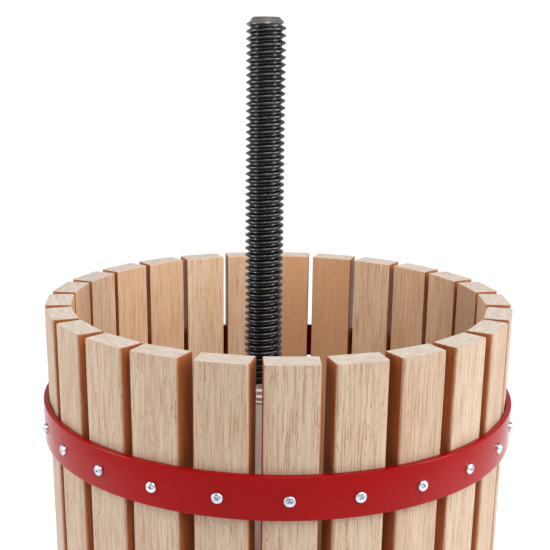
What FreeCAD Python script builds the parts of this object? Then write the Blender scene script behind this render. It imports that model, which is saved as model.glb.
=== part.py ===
import FreeCAD, Part
import math
import os
import Sketcher

# Apple cider press: a slatted wooden basket that stands on a steel juice tray with three legs.
# A screw spindle rises from the tray through the basket.  Half-moon plates, pressure blocks,
# a washer and a two-armed nut ride on it.
# Frame: origin on the spindle's axis at floor level, +Z up, the spout towards -Y.

DIMENSIONS = {
    # spindle
    "spindle_radius": 16.0,
    "spindle_tip_height": 852.6,
    "thread_length": 314.0,
    "tip_chamfer": 5.5,
    "shank_radius": 12.75,
    "shank_foot_height": 165.0,
    "collar_radius": 24.0,
    "collar_height": 10.0,
    # juice tray and its spout
    "tray_floor_height": 230.0,
    "tray_sheet": 2.5,
    "tray_radius": 225.0,
    "tray_wall_height": 35.0,
    "tray_bead_radius": 5.0,
    "spout_width": 44.0,
    "spout_reach": 70.0,
    "spout_height": 20.0,
    "outlet_width": 36.0,
    "outlet_height": 16.0,
    # three-armed support casting under the tray
    "spider_thickness": 12.0,
    "spider_hub_radius": 60.0,
    "spider_arm_width": 45.0,
    "spider_arm_reach": 205.0,
    "spider_boss_radius": 30.0,
    "spider_boss_height": 18.0,
    # legs of bent flat bar, and the ring that braces them
    "strap_thickness": 8.0,
    "strap_width": 45.0,
    "strap_bend_radius": 6.0,
    "leg_radius": 200.0,
    "leg_tab_radius": 148.0,
    "foot_reach": 256.0,
    "foot_hole_radius": 5.5,
    "foot_bolt_circle": 236.0,
    "brace_mid_height": 100.0,
    "brace_width": 24.0,
    "brace_thickness": 5.0,
    "brace_play": 0.1,
    "brace_nut_play": 0.25,
    # eight millimetre bolts
    "bolt_radius": 4.0,
    "bolt_hole_radius": 4.3,
    "bolt_head_circumradius": 7.5,
    "bolt_head_height": 5.3,
    "bolt_nut_height": 6.5,
    "bolt_grip_length": 17.0,
    "leg_bolt_inner_circle": 156.0,
    "leg_bolt_outer_circle": 176.0,
    # nut and washer that hold the spindle in the casting
    "anchor_nut_circumradius": 20.8,
    "anchor_nut_height": 19.0,
    "anchor_washer_radius": 22.0,
    "anchor_washer_thickness": 4.0,
    "anchor_play": 0.05,
    # basket
    "basket_shift": 12.6,
    "basket_height": 400.0,
    "seat_gap": 0.3,
    "slat_width": 38.6,
    "slat_thickness": 20.5,
    "slat_face_radius": 190.0,
    "slat_edge_radius": 3.0,
    "slat_first_turn": 3.0,
    "slat_creep": 0.8,
    "slat_slip": 0.6,
    "hoop_inner_radius": 191.0,
    "hoop_thickness": 4.3,
    "hoop_width": 32.5,
    "hoop_inset": 92.6,
    "hoop_hole_radius": 2.3,
    # wood screws
    "screw_turn": 2.7,
    "screw_drop": 1.2,
    "screw_radius": 2.0,
    "screw_length": 20.0,
    "screw_head_radius": 4.2,
    "screw_head_height": 2.6,
    "pilot_radius": 2.5,
    "pilot_depth": 18.5,
    # half-moon plates, battens and pressure blocks
    "plate_radius": 152.0,
    "plate_notch_radius": 28.0,
    "plate_thickness": 25.0,
    "plate_half_gap": 0.5,
    "batten_length": 200.0,
    "batten_width": 40.0,
    "batten_thickness": 15.0,
    "batten_offset": 90.0,
    "batten_screw_offset": 85.0,
    "block_length": 220.0,
    "block_width": 45.0,
    "block_height": 40.0,
    "block_offset": 45.0,
    # thrust washer and the two-armed press nut
    "thrust_washer_radius": 50.0,
    "thrust_washer_bore": 17.0,
    "thrust_washer_thickness": 6.0,
    "nut_play": 0.06,
    "nut_flange_radius": 44.0,
    "nut_flange_height": 9.0,
    "nut_hub_radius": 32.0,
    "nut_height": 45.0,
    "arm_level": 28.0,
    "arm_radius": 8.0,
    "arm_root": 24.0,
    "arm_reach": 140.0,
    "arm_socket_play": 0.05,
    "grip_radius": 13.0,
    "grip_start": 74.0,
    "grip_reach": 144.0,
}

SLAT_COUNT = 25
LEG_COUNT = 3
FIRST_LEG_ANGLE = 90.0
# Slats nailed a little back from their places, counted from 0 at the front towards +X.
SLIPPED_SLATS = (5, 23)

X_AXIS = FreeCAD.Vector(1, 0, 0)
Y_AXIS = FreeCAD.Vector(0, 1, 0)
Z_AXIS = FreeCAD.Vector(0, 0, 1)
UPRIGHT = FreeCAD.Rotation()
TOWARDS_X = FreeCAD.Rotation(Y_AXIS, 90)
TOWARDS_MINUS_X = FreeCAD.Rotation(Y_AXIS, -90)
TOWARDS_MINUS_Z = FreeCAD.Rotation(X_AXIS, 180)

doc = FreeCAD.newDocument("cider_press")
nodes = []


def make_sheet():
    sheet = doc.addObject("Spreadsheet::Sheet", "dims")
    for row, (alias, number) in enumerate(DIMENSIONS.items(), start=1):
        sheet.set(f"A{row}", alias)
        sheet.set(f"B{row}", str(number))
        sheet.setAlias(f"B{row}", alias)
    doc.recompute()
    return sheet


dims = make_sheet()


def size(alias):
    return float(dims.get(alias))


def bind(thing, **expressions):
    for prop, expression in expressions.items():
        thing.setExpression(prop, expression)


def place(thing, x="0", y="0", z="0", rotation=UPRIGHT):
    thing.Placement = FreeCAD.Placement(FreeCAD.Vector(), rotation)
    for letter, expression in (("x", x), ("y", y), ("z", z)):
        thing.setExpression(f"Placement.Base.{letter}", expression)
    return thing


def node(thing, label):
    thing.Label = label
    nodes.append(thing)
    return thing


# --- primitives and booleans ------------------------------------------------------------------

def cylinder(name, radius, height, **where):
    thing = doc.addObject("Part::Cylinder", name)
    bind(thing, Radius=radius, Height=height)
    return place(thing, **where)


def cone(name, low_radius, high_radius, height, **where):
    thing = doc.addObject("Part::Cone", name)
    bind(thing, Radius1=low_radius, Radius2=high_radius, Height=height)
    return place(thing, **where)


def torus(name, ring_radius, tube_radius, **where):
    thing = doc.addObject("Part::Torus", name)
    bind(thing, Radius1=ring_radius, Radius2=tube_radius)
    return place(thing, **where)


def box(name, length, width, height, **where):
    thing = doc.addObject("Part::Box", name)
    bind(thing, Length=length, Width=width, Height=height)
    return place(thing, **where)


def hexagon(name, circumradius, height, **where):
    thing = doc.addObject("Part::Prism", name)
    thing.Polygon = 6
    bind(thing, Circumradius=circumradius, Height=height)
    return place(thing, **where)


def fuse(name, shapes):
    thing = doc.addObject("Part::MultiFuse", name)
    thing.Shapes = shapes
    thing.Refine = True
    return thing


def cut(name, base, tools):
    thing = doc.addObject("Part::Cut", name)
    thing.Base = base
    thing.Tool = tools[0] if len(tools) == 1 else fuse(name + "_tools", tools)
    thing.Refine = True
    return thing


def group(name, master, placements):
    links = []
    for number, placement in enumerate(placements, start=1):
        link = doc.addObject("App::Link", f"{name}_{number}")
        link.LinkedObject = master
        link.Placement = placement
        links.append(link)
    thing = doc.addObject("Part::Compound", name)
    thing.Links = links
    return node(thing, name)


def turned(angle, radius=0.0, height=0.0, rotation=UPRIGHT):
    """A placement at a radius and height, turned about the Z axis, +X being angle 0."""
    turn = FreeCAD.Rotation(Z_AXIS, angle)
    spot = turn.multVec(FreeCAD.Vector(radius, 0, height))
    return FreeCAD.Placement(spot, turn * rotation)


# --- sketches ---------------------------------------------------------------------------------

def new_body(label):
    return node(doc.addObject("PartDesign::Body", label), label)


def new_sketch(body, name, role, offset="0"):
    plane = [item for item in body.Origin.OriginFeatures if item.Role == role][0]
    sketch = body.newObject("Sketcher::SketchObject", name)
    sketch.AttachmentSupport = (plane, "")
    sketch.MapMode = "FlatFace"
    sketch.setExpression("AttachmentOffset.Base.z", offset)
    return sketch


def polygon(sketch, corners):
    """Closed outline.  A corner is (x, y), each a sign and an expression of its distance."""
    points = []
    for corner in corners:
        across, up = [sign * float(sketch.evalExpression(text)) for sign, text in corner]
        points.append(FreeCAD.Vector(across, up, 0))
    count = len(points)
    for index, point in enumerate(points):
        sketch.addGeometry(Part.LineSegment(point, points[(index + 1) % count]))
    for index in range(count):
        sketch.addConstraint(Sketcher.Constraint("Coincident", index, 2, (index + 1) % count, 1))
    for index, (across, up) in enumerate(corners):
        for kind, (sign, text) in (("DistanceX", across), ("DistanceY", up)):
            pin_point(sketch, kind, index, 1, sign, text)


def pin_point(sketch, kind, geometry, end, sign, text):
    """Fix one coordinate of a point, measured from the sketch's origin towards the point."""
    amount = float(sketch.evalExpression(text))
    ends = (-1, 1, geometry, end) if sign > 0 else (geometry, end, -1, 1)
    index = sketch.addConstraint(Sketcher.Constraint(kind, *ends, amount))
    sketch.setExpression(f"Constraints[{index}]", text)


def circle(sketch, across, up, radius):
    centre = [sign * float(sketch.evalExpression(text)) for sign, text in (across, up)]
    amount = float(sketch.evalExpression(radius))
    index = sketch.addGeometry(Part.Circle(FreeCAD.Vector(*centre, 0), Z_AXIS, amount))
    pin_point(sketch, "DistanceX", index, 3, *across)
    pin_point(sketch, "DistanceY", index, 3, *up)
    constraint = sketch.addConstraint(Sketcher.Constraint("Radius", index, amount))
    sketch.setExpression(f"Constraints[{constraint}]", radius)


def pad(body, sketch, length, symmetric=False):
    feature = body.newObject("PartDesign::Pad", body.Name + "_pad")
    feature.Profile = sketch
    feature.SideType = "Symmetric" if symmetric else "One side"
    feature.setExpression("Length", length)
    sketch.Visibility = False
    return feature


def pocket(body, sketch, length, symmetric=False):
    feature = body.newObject("PartDesign::Pocket", sketch.Name + "_pocket")
    feature.Profile = sketch
    feature.SideType = "Symmetric" if symmetric else "One side"
    feature.setExpression("Length", length)
    doc.recompute()
    return feature


def round_edges(body, name, base, radius, wanted):
    doc.recompute()
    edges = [f"Edge{number}" for number, edge in enumerate(base.Shape.Edges, start=1) if wanted(edge)]
    feature = body.newObject("PartDesign::Fillet", name)
    feature.Base = (base, edges)
    feature.setExpression("Radius", radius)
    return feature


# --- spindle and what holds it ----------------------------------------------------------------

def make_spindle():
    thread_foot = "dims.spindle_tip_height - dims.thread_length"
    thread = cylinder("thread", "dims.spindle_radius", "dims.thread_length - dims.tip_chamfer",
                      z=thread_foot)
    tip = cone("tip", "dims.spindle_radius", "dims.spindle_radius - dims.tip_chamfer",
               "dims.tip_chamfer", z="dims.spindle_tip_height - dims.tip_chamfer")
    shank = cylinder("shank", "dims.shank_radius", thread_foot + " - dims.shank_foot_height",
                     z="dims.shank_foot_height")
    collar = cylinder("collar", "dims.collar_radius", "dims.collar_height",
                      z="dims.tray_floor_height")
    node(fuse("spindle", [thread, tip, shank, collar]), "spindle")


def make_anchor():
    washer_top = ("dims.tray_floor_height - dims.tray_sheet - dims.spider_thickness"
                  " - dims.spider_boss_height")
    washer_foot = washer_top + " - dims.anchor_washer_thickness"
    bore = "dims.shank_radius + dims.anchor_play"
    washer = cut("anchor_washer",
                 cylinder("anchor_washer_disc", "dims.anchor_washer_radius",
                          "dims.anchor_washer_thickness"),
                 [cylinder("anchor_washer_bore", bore, "dims.anchor_washer_thickness")])
    node(place(washer, z=washer_foot), "anchor_washer")
    nut = cut("anchor_nut",
              hexagon("anchor_nut_hex", "dims.anchor_nut_circumradius", "dims.anchor_nut_height"),
              [cylinder("anchor_nut_bore", bore, "dims.anchor_nut_height")])
    node(place(nut, z=washer_foot + " - dims.anchor_nut_height"), "anchor_nut")


# --- tray and spout ---------------------------------------------------------------------------

def make_tray():
    outer = "dims.tray_radius + dims.tray_sheet"
    bead_height = "dims.tray_sheet + dims.tray_wall_height - dims.tray_bead_radius"
    pan = cylinder("tray_pan", outer, "dims.tray_sheet + dims.tray_wall_height")
    bead = torus("tray_bead", outer, "dims.tray_bead_radius", z=bead_height)
    hollow = cylinder("tray_hollow", "dims.tray_radius", "dims.tray_wall_height",
                      z="dims.tray_sheet")
    bore = cylinder("tray_bore", "dims.shank_radius + dims.anchor_play", "dims.tray_sheet")
    outlet = box("tray_outlet", "dims.outlet_width", "3 * dims.tray_sheet", "dims.outlet_height",
                 x="-dims.outlet_width / 2", y="-dims.tray_radius - 2 * dims.tray_sheet",
                 z="dims.tray_sheet")
    tray = cut("tray", fuse("tray_blank", [pan, bead]), [hollow, bore, outlet])
    node(place(tray, z="dims.tray_floor_height - dims.tray_sheet"), "tray")


def make_spout():
    length = "dims.spout_reach + 2 * dims.tray_sheet"
    block = box("spout_block", "dims.spout_width", length, "dims.spout_height",
                x="-dims.spout_width / 2", y="-dims.tray_radius - dims.spout_reach")
    channel = box("spout_channel", "dims.spout_width - 2 * dims.tray_sheet", length,
                  "dims.spout_height", x="-dims.spout_width / 2 + dims.tray_sheet",
                  y="-dims.tray_radius - dims.spout_reach", z="dims.tray_sheet")
    seat = cylinder("spout_seat", "dims.tray_radius + dims.tray_sheet", "dims.spout_height")
    spout = cut("spout", block, [channel, seat])
    node(place(spout, z="dims.tray_floor_height - dims.tray_sheet"), "spout")


# --- three-armed casting, legs, brace ---------------------------------------------------------

def leg_angles():
    return [FIRST_LEG_ANGLE + 360.0 * number / LEG_COUNT for number in range(LEG_COUNT)]


def make_spider():
    hub = cylinder("spider_hub", "dims.spider_hub_radius", "dims.spider_thickness")
    boss = cylinder("spider_boss", "dims.spider_boss_radius", "dims.spider_boss_height",
                    z="-dims.spider_boss_height")
    parts = [hub, boss]
    tools = [cylinder("spider_bore", "dims.shank_radius + dims.anchor_play",
                      "dims.spider_boss_height + dims.spider_thickness",
                      z="-dims.spider_boss_height")]
    for number, angle in enumerate(leg_angles(), start=1):
        arm = box(f"spider_arm_{number}", "dims.spider_arm_reach", "dims.spider_arm_width",
                  "dims.spider_thickness")
        sideways = f"dims.spider_arm_width / 2 * sin({angle} deg)"
        back = f"-dims.spider_arm_width / 2 * cos({angle} deg)"
        parts.append(place(arm, x=sideways, y=back, rotation=FreeCAD.Rotation(Z_AXIS, angle)))
        for circle_name in ("inner", "outer"):
            reach = f"dims.leg_bolt_{circle_name}_circle"
            tools.append(cylinder(f"spider_hole_{circle_name}_{number}", "dims.bolt_radius + 0.05",
                                  "dims.bolt_grip_length - dims.strap_thickness + 1",
                                  x=f"{reach} * cos({angle} deg)", y=f"{reach} * sin({angle} deg)"))
    spider = cut("spider", fuse("spider_blank", parts), tools)
    node(place(spider, z="dims.tray_floor_height - dims.tray_sheet - dims.spider_thickness"),
         "spider")


def make_leg(label, angle):
    """Flat bar bent twice: a tab under the casting, an upright, and a foot that points outwards."""
    body = new_body(label)
    outline = new_sketch(body, label + "_outline", "XZ_Plane")
    top = "dims.tray_floor_height - dims.tray_sheet - dims.spider_thickness"
    polygon(outline, [
        ((1, "dims.leg_radius - dims.strap_thickness"), (1, "0")),
        ((1, "dims.foot_reach"), (1, "0")),
        ((1, "dims.foot_reach"), (1, "dims.strap_thickness")),
        ((1, "dims.leg_radius"), (1, "dims.strap_thickness")),
        ((1, "dims.leg_radius"), (1, top)),
        ((1, "dims.leg_tab_radius"), (1, top)),
        ((1, "dims.leg_tab_radius"), (1, top + " - dims.strap_thickness")),
        ((1, "dims.leg_radius - dims.strap_thickness"), (1, top + " - dims.strap_thickness")),
    ])
    bar = pad(body, outline, "dims.strap_width", symmetric=True)

    def inner_bend(edge):
        middle = edge.CenterOfMass
        upright_x = size("leg_radius")
        foot_bend = abs(middle.x - upright_x) < 0.1 and abs(middle.z - size("strap_thickness")) < 0.1
        tab_bend = abs(middle.x - upright_x + size("strap_thickness")) < 0.1 and middle.z > 150
        return abs(middle.y) < 0.1 and (foot_bend or tab_bend)

    round_edges(body, label + "_bends", bar, "dims.strap_bend_radius", inner_bend)
    doc.recompute()
    holes = new_sketch(body, label + "_holes", "XY_Plane")
    zero = (1, "0")
    circle(holes, (1, "dims.foot_bolt_circle"), zero, "dims.foot_hole_radius")
    circle(holes, (1, "dims.leg_bolt_inner_circle"), zero, "dims.bolt_hole_radius")
    circle(holes, (1, "dims.leg_bolt_outer_circle"), zero, "dims.bolt_hole_radius")
    before = body.Shape.Volume
    pocket(body, holes, "3 * dims.tray_floor_height", symmetric=True)
    side = new_sketch(body, label + "_side_hole", "YZ_Plane", "dims.leg_radius")
    circle(side, zero, (1, "dims.brace_mid_height"), "dims.bolt_hole_radius")
    pocket(body, side, "4 * dims.strap_thickness", symmetric=True)
    if body.Shape.Volume > before - 1000:
        raise RuntimeError(label + ": the holes cut too little")
    body.Placement = turned(angle)


def make_brace():
    outer = "dims.leg_radius - dims.strap_thickness - dims.brace_play"
    band = cylinder("brace_band", outer, "dims.brace_width")
    hollow = cylinder("brace_hollow", outer + " - dims.brace_thickness", "dims.brace_width")
    tools = [hollow]
    for number, angle in enumerate(leg_angles(), start=1):
        inner = outer + " - 2 * dims.brace_thickness"
        hole = cylinder(f"brace_hole_{number}", "dims.bolt_hole_radius", "3 * dims.brace_thickness")
        place(hole, x=f"({inner}) * cos({angle} deg)", y=f"({inner}) * sin({angle} deg)",
              z="dims.brace_width / 2", rotation=FreeCAD.Rotation(Z_AXIS, angle) * TOWARDS_X)
        tools.append(hole)
    brace = cut("brace_ring", band, tools)
    node(place(brace, z="dims.brace_mid_height - dims.brace_width / 2"), "brace_ring")


def make_bolts():
    """Bolts point along +Z from their head's seat, the head below it."""
    bolt = fuse("bolt_master", [
        hexagon("bolt_head", "dims.bolt_head_circumradius", "dims.bolt_head_height",
                z="-dims.bolt_head_height"),
        cylinder("bolt_shank", "dims.bolt_radius", "dims.bolt_grip_length"),
    ])
    nut = cut("nut_master",
              hexagon("nut_hex", "dims.bolt_head_circumradius", "dims.bolt_nut_height"),
              [cylinder("nut_bore", "dims.bolt_radius + 0.05", "dims.bolt_nut_height")])
    tab_foot = (size("tray_floor_height") - size("tray_sheet") - size("spider_thickness")
                - size("strap_thickness"))
    leg_spots = []
    brace_spots = []
    nut_spots = []
    brace_inside = size("leg_radius") - size("strap_thickness") - size("brace_play") - size("brace_thickness")
    for angle in leg_angles():
        for reach in ("leg_bolt_inner_circle", "leg_bolt_outer_circle"):
            leg_spots.append(turned(angle, size(reach), tab_foot))
        brace_spots.append(turned(angle, size("leg_radius"), size("brace_mid_height"), TOWARDS_MINUS_X))
        nut_seat = brace_inside - size("brace_nut_play")
        nut_spots.append(turned(angle, nut_seat, size("brace_mid_height"), TOWARDS_MINUS_X))
    group("leg_bolts", bolt, leg_spots)
    long_bolt = fuse("brace_bolt_master", [
        hexagon("brace_bolt_head", "dims.bolt_head_circumradius", "dims.bolt_head_height",
                z="-dims.bolt_head_height"),
        cylinder("brace_bolt_shank", "dims.bolt_radius",
                 "dims.strap_thickness + dims.brace_thickness + dims.bolt_nut_height + 3"),
    ])
    group("brace_bolts", long_bolt, brace_spots)
    group("brace_nuts", nut, nut_spots)


# --- basket -----------------------------------------------------------------------------------

def basket_place(thing, rise="0", turn=0.0):
    return place(thing, x="dims.basket_shift", z="dims.tray_floor_height + dims.seat_gap + " + rise,
                 rotation=FreeCAD.Rotation(Z_AXIS, turn))


def slat_turn(number):
    even = 360.0 * number / SLAT_COUNT
    creep = size("slat_creep") * (1.0 - math.cos(math.radians(even))) / 2.0
    slip = size("slat_slip") if number in SLIPPED_SLATS else 0.0
    return size("slat_first_turn") + even + creep - slip


def screw_turn(number):
    return size("screw_turn") + 360.0 * number / SLAT_COUNT


def make_slat(number):
    """One upright slat, its outer face towards -Y before it is turned to its place."""
    label = f"slat_{number + 1:02d}"
    body = new_body(label)
    outline = new_sketch(body, label + "_outline", "XY_Plane")
    half = "dims.slat_width / 2"
    face = "dims.slat_face_radius"
    inner = "dims.slat_face_radius - dims.slat_thickness"
    polygon(outline, [((-1, half), (-1, face)), ((1, half), (-1, face)),
                      ((1, half), (-1, inner)), ((-1, half), (-1, inner))])
    bar = pad(body, outline, "dims.basket_height")

    def outer_long_edge(edge):
        middle = edge.CenterOfMass
        upright = abs(middle.z - size("basket_height") / 2) < 0.1
        return upright and abs(middle.y + size("slat_face_radius")) < 0.1

    round_edges(body, label + "_soft_edges", bar, "dims.slat_edge_radius", outer_long_edge)
    pilots = new_sketch(body, label + "_pilots", "XZ_Plane", face)
    lean = math.radians(screw_turn(number) - slat_turn(number))
    aside = size("slat_face_radius") * math.tan(lean)
    side = (1 if aside >= 0 else -1, f"dims.slat_face_radius * {abs(math.tan(lean)):.5f}")
    circle(pilots, side, (1, "dims.hoop_inset - dims.screw_drop"), "dims.pilot_radius")
    upper = "dims.basket_height - dims.hoop_inset - dims.screw_drop"
    circle(pilots, side, (1, upper), "dims.pilot_radius")
    doc.recompute()
    before = body.Shape.Volume
    pocket(body, pilots, "dims.pilot_depth")
    if body.Shape.Volume > before - 100:
        raise RuntimeError(label + ": the pilot holes cut nothing")
    basket_place(body, turn=slat_turn(number))


def make_hoop(label, rise):
    band = cylinder(label + "_band", "dims.hoop_inner_radius + dims.hoop_thickness",
                    "dims.hoop_width")
    tools = [cylinder(label + "_hollow", "dims.hoop_inner_radius", "dims.hoop_width")]
    for number in range(SLAT_COUNT):
        angle = screw_turn(number) - 90
        start = "(dims.hoop_inner_radius - dims.hoop_thickness)"
        hole = cylinder(f"{label}_hole_{number + 1:02d}", "dims.hoop_hole_radius",
                        "3 * dims.hoop_thickness")
        place(hole, x=f"{start} * cos({angle} deg)", y=f"{start} * sin({angle} deg)",
              z="dims.hoop_width / 2 - dims.screw_drop",
              rotation=FreeCAD.Rotation(Z_AXIS, angle) * TOWARDS_X)
        tools.append(hole)
    hoop = cut(label, band, tools)
    basket_place(hoop, rise=rise + " - dims.hoop_width / 2")
    node(hoop, label)


def make_screw(name):
    """A pan head wood screw that points along +Z from its head's seat."""
    return fuse(name, [
        cone(name + "_head", "dims.screw_head_radius * 0.7", "dims.screw_head_radius",
             "dims.screw_head_height", z="-dims.screw_head_height"),
        cylinder(name + "_shank", "dims.screw_radius", "dims.screw_length - dims.screw_radius"),
        cone(name + "_point", "dims.screw_radius", "0.3", "dims.screw_radius",
             z="dims.screw_length - dims.screw_radius"),
    ])


def make_hoop_screws(screw):
    seat = size("hoop_inner_radius") + size("hoop_thickness")
    foot = size("tray_floor_height") + size("seat_gap") - size("screw_drop")
    shift = FreeCAD.Placement(FreeCAD.Vector(size("basket_shift"), 0, 0), UPRIGHT)
    for label, rise in (("upper_screws", size("basket_height") - size("hoop_inset")),
                        ("lower_screws", size("hoop_inset"))):
        spots = [shift * turned(screw_turn(number) - 90, seat, foot + rise, TOWARDS_MINUS_X)
                 for number in range(SLAT_COUNT)]
        group(label, screw, spots)


# --- plates, battens, blocks ------------------------------------------------------------------

def stack_height(*layers):
    return " + ".join(("dims.tray_floor_height", "dims.seat_gap") + layers)


BATTEN_FOOT = stack_height("dims.plate_thickness")
BLOCK_FOOT = stack_height("dims.plate_thickness", "dims.batten_thickness")
UPPER_BLOCK_FOOT = BLOCK_FOOT + " + dims.block_height"
WASHER_FOOT = BLOCK_FOOT + " + 2 * dims.block_height"
NUT_FOOT = WASHER_FOOT + " + dims.thrust_washer_thickness + dims.seat_gap"


def batten_pilots(label, side):
    """Pilot holes of the two screws that hold a half plate's batten."""
    tools = []
    for number, sign in enumerate(("-", ""), start=1):
        tools.append(cylinder(f"{label}_pilot_{number}", "dims.pilot_radius",
                              "dims.plate_thickness + dims.batten_thickness",
                              x=sign + "dims.batten_screw_offset", y=f"{side} * dims.batten_offset",
                              z="dims.plate_thickness / 4"))
    return tools


def make_half_plate(label, side):
    disc = cylinder(label + "_disc", "dims.plate_radius", "dims.plate_thickness")
    notch = cylinder(label + "_notch", "dims.plate_notch_radius", "dims.plate_thickness")
    low = "-dims.plate_radius - 1" if side > 0 else "-dims.plate_half_gap"
    other_half = box(label + "_other_half", "2 * dims.plate_radius + 2",
                     "dims.plate_radius + 1 + dims.plate_half_gap", "dims.plate_thickness",
                     x="-dims.plate_radius - 1", y=low)
    plate = cut(label, disc, [notch, other_half] + batten_pilots(label, side))
    node(place(plate, z=stack_height()), label)


def make_batten(label, side):
    bar = box(label + "_bar", "dims.batten_length", "dims.batten_width", "dims.batten_thickness",
              x="-dims.batten_length / 2", y=f"{side} * dims.batten_offset - dims.batten_width / 2",
              z="dims.plate_thickness")
    batten = cut(label, bar, batten_pilots(label, side))
    node(place(batten, z=stack_height()), label)


def make_blocks():
    for label, sign in (("lower_block_left", "-"), ("lower_block_right", "")):
        block = box(label, "dims.block_width", "dims.block_length", "dims.block_height",
                    x=f"{sign}dims.block_offset - dims.block_width / 2",
                    y="-dims.block_length / 2", z=BLOCK_FOOT)
        node(block, label)
    for label, sign in (("upper_block_front", "-"), ("upper_block_back", "")):
        block = box(label, "dims.block_length", "dims.block_width", "dims.block_height",
                    x="-dims.block_length / 2",
                    y=f"{sign}dims.block_offset - dims.block_width / 2", z=UPPER_BLOCK_FOOT)
        node(block, label)


def make_batten_screws(screw):
    seat = size("tray_floor_height") + size("seat_gap") + size("plate_thickness") + size("batten_thickness")
    spots = []
    for across in (-size("batten_screw_offset"), size("batten_screw_offset")):
        for along in (-size("batten_offset"), size("batten_offset")):
            spots.append(FreeCAD.Placement(FreeCAD.Vector(across, along, seat), TOWARDS_MINUS_Z))
    group("batten_screws", screw, spots)


# --- thrust washer and press nut --------------------------------------------------------------

def make_thrust_washer():
    disc = cylinder("thrust_disc", "dims.thrust_washer_radius", "dims.thrust_washer_thickness")
    bore = cylinder("thrust_bore", "dims.thrust_washer_bore", "dims.thrust_washer_thickness")
    node(place(cut("thrust_washer", disc, [bore]), z=WASHER_FOOT), "thrust_washer")


def make_press_nut():
    flange = cylinder("nut_flange", "dims.nut_flange_radius", "dims.nut_flange_height")
    hub = cylinder("nut_hub", "dims.nut_hub_radius", "dims.nut_height")
    bosses = cylinder("nut_bosses", "dims.arm_radius * 1.9", "2 * dims.nut_hub_radius + 12",
                      x="-dims.nut_hub_radius - 6", z="dims.arm_level", rotation=TOWARDS_X)
    bore = cylinder("press_nut_bore", "dims.spindle_radius + dims.nut_play", "dims.nut_height")
    socket = "dims.arm_radius + dims.arm_socket_play"
    sockets = [
        cylinder("right_socket", socket, "dims.nut_hub_radius", x="dims.arm_root",
                 z="dims.arm_level", rotation=TOWARDS_X),
        cylinder("left_socket", socket, "dims.nut_hub_radius", x="-dims.arm_root",
                 z="dims.arm_level", rotation=TOWARDS_MINUS_X),
    ]
    nut = cut("press_nut", fuse("nut_blank", [flange, hub, bosses]), [bore] + sockets)
    node(place(nut, z=NUT_FOOT), "press_nut")


def make_arm(side, sign, rotation):
    level = NUT_FOOT + " + dims.arm_level"
    rod = cylinder(f"nut_arm_{side}", "dims.arm_radius", "dims.arm_reach - dims.arm_root",
                   x=f"{sign}dims.arm_root", z=level, rotation=rotation)
    node(rod, f"nut_arm_{side}")
    sleeve = cylinder(f"grip_sleeve_{side}", "dims.grip_radius", "dims.grip_reach - dims.grip_start")
    hollow = cylinder(f"grip_hollow_{side}", "dims.arm_radius + dims.arm_socket_play",
                      "dims.arm_reach - dims.grip_start")
    grip = cut(f"arm_grip_{side}", sleeve, [hollow])
    node(place(grip, x=f"{sign}dims.grip_start", z=level, rotation=rotation), f"arm_grip_{side}")


# --- the whole press --------------------------------------------------------------------------

def build():
    make_spindle()
    make_anchor()
    make_tray()
    make_spout()
    make_spider()
    for number, angle in enumerate(leg_angles(), start=1):
        make_leg(f"leg_{number}", angle)
    make_brace()
    make_bolts()
    for number in range(SLAT_COUNT):
        make_slat(number)
    make_hoop("hoop_upper", "dims.basket_height - dims.hoop_inset")
    make_hoop("hoop_lower", "dims.hoop_inset")
    screw = make_screw("screw_master")
    make_hoop_screws(screw)
    make_half_plate("plate_front", -1)
    make_half_plate("plate_back", 1)
    make_batten("batten_front", -1)
    make_batten("batten_back", 1)
    make_blocks()
    make_batten_screws(screw)
    make_thrust_washer()
    make_press_nut()
    make_arm("right", "", TOWARDS_X)
    make_arm("left", "-", TOWARDS_MINUS_X)
    doc.recompute()


def check_and_write():
    for thing in doc.Objects:
        if "Invalid" in thing.State or "Error" in thing.State:
            raise RuntimeError(thing.Name + " failed to compute")
    os.makedirs("parts", exist_ok=True)
    for thing in nodes:
        if thing.Shape.isNull() or not thing.Shape.isValid():
            raise RuntimeError(thing.Label + " has no valid shape")
    for thing in nodes:
        thing.Shape.exportStep(f"parts/{thing.Label}.step")
    print(len(nodes), "sub-parts written")


build()
check_and_write()
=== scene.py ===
import math
import random

import bpy
from mathutils import Matrix, Vector, noise


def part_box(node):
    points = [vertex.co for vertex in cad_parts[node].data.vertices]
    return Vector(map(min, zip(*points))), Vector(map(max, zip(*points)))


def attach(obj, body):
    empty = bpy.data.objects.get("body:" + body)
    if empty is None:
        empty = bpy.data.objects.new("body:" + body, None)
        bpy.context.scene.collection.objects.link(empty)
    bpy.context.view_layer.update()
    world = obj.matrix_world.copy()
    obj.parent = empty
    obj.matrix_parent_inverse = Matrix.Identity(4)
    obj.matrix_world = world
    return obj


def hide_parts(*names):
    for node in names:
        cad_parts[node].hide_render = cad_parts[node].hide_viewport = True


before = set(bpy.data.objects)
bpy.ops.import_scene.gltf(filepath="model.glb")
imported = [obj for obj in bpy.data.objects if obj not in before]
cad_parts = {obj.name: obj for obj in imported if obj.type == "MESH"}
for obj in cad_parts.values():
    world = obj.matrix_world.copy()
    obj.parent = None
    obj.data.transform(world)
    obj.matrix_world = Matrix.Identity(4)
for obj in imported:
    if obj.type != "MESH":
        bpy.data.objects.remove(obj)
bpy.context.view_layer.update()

# Lengths are metres in the row frame.  MM turns a length in millimetres into one.
MM = 0.001
SEED = 11
random.seed(SEED)

BASE = "base"
BASKET = "basket"
STACK = "press_stack"
NUT = "press_nut_body"


# ---------------------------------------------------------------- places that the frame gives

def box_of(node):
    low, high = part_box(node)
    return Vector(low), Vector(high)


def middle_of(node):
    low, high = box_of(node)
    return (low + high) / 2


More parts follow.
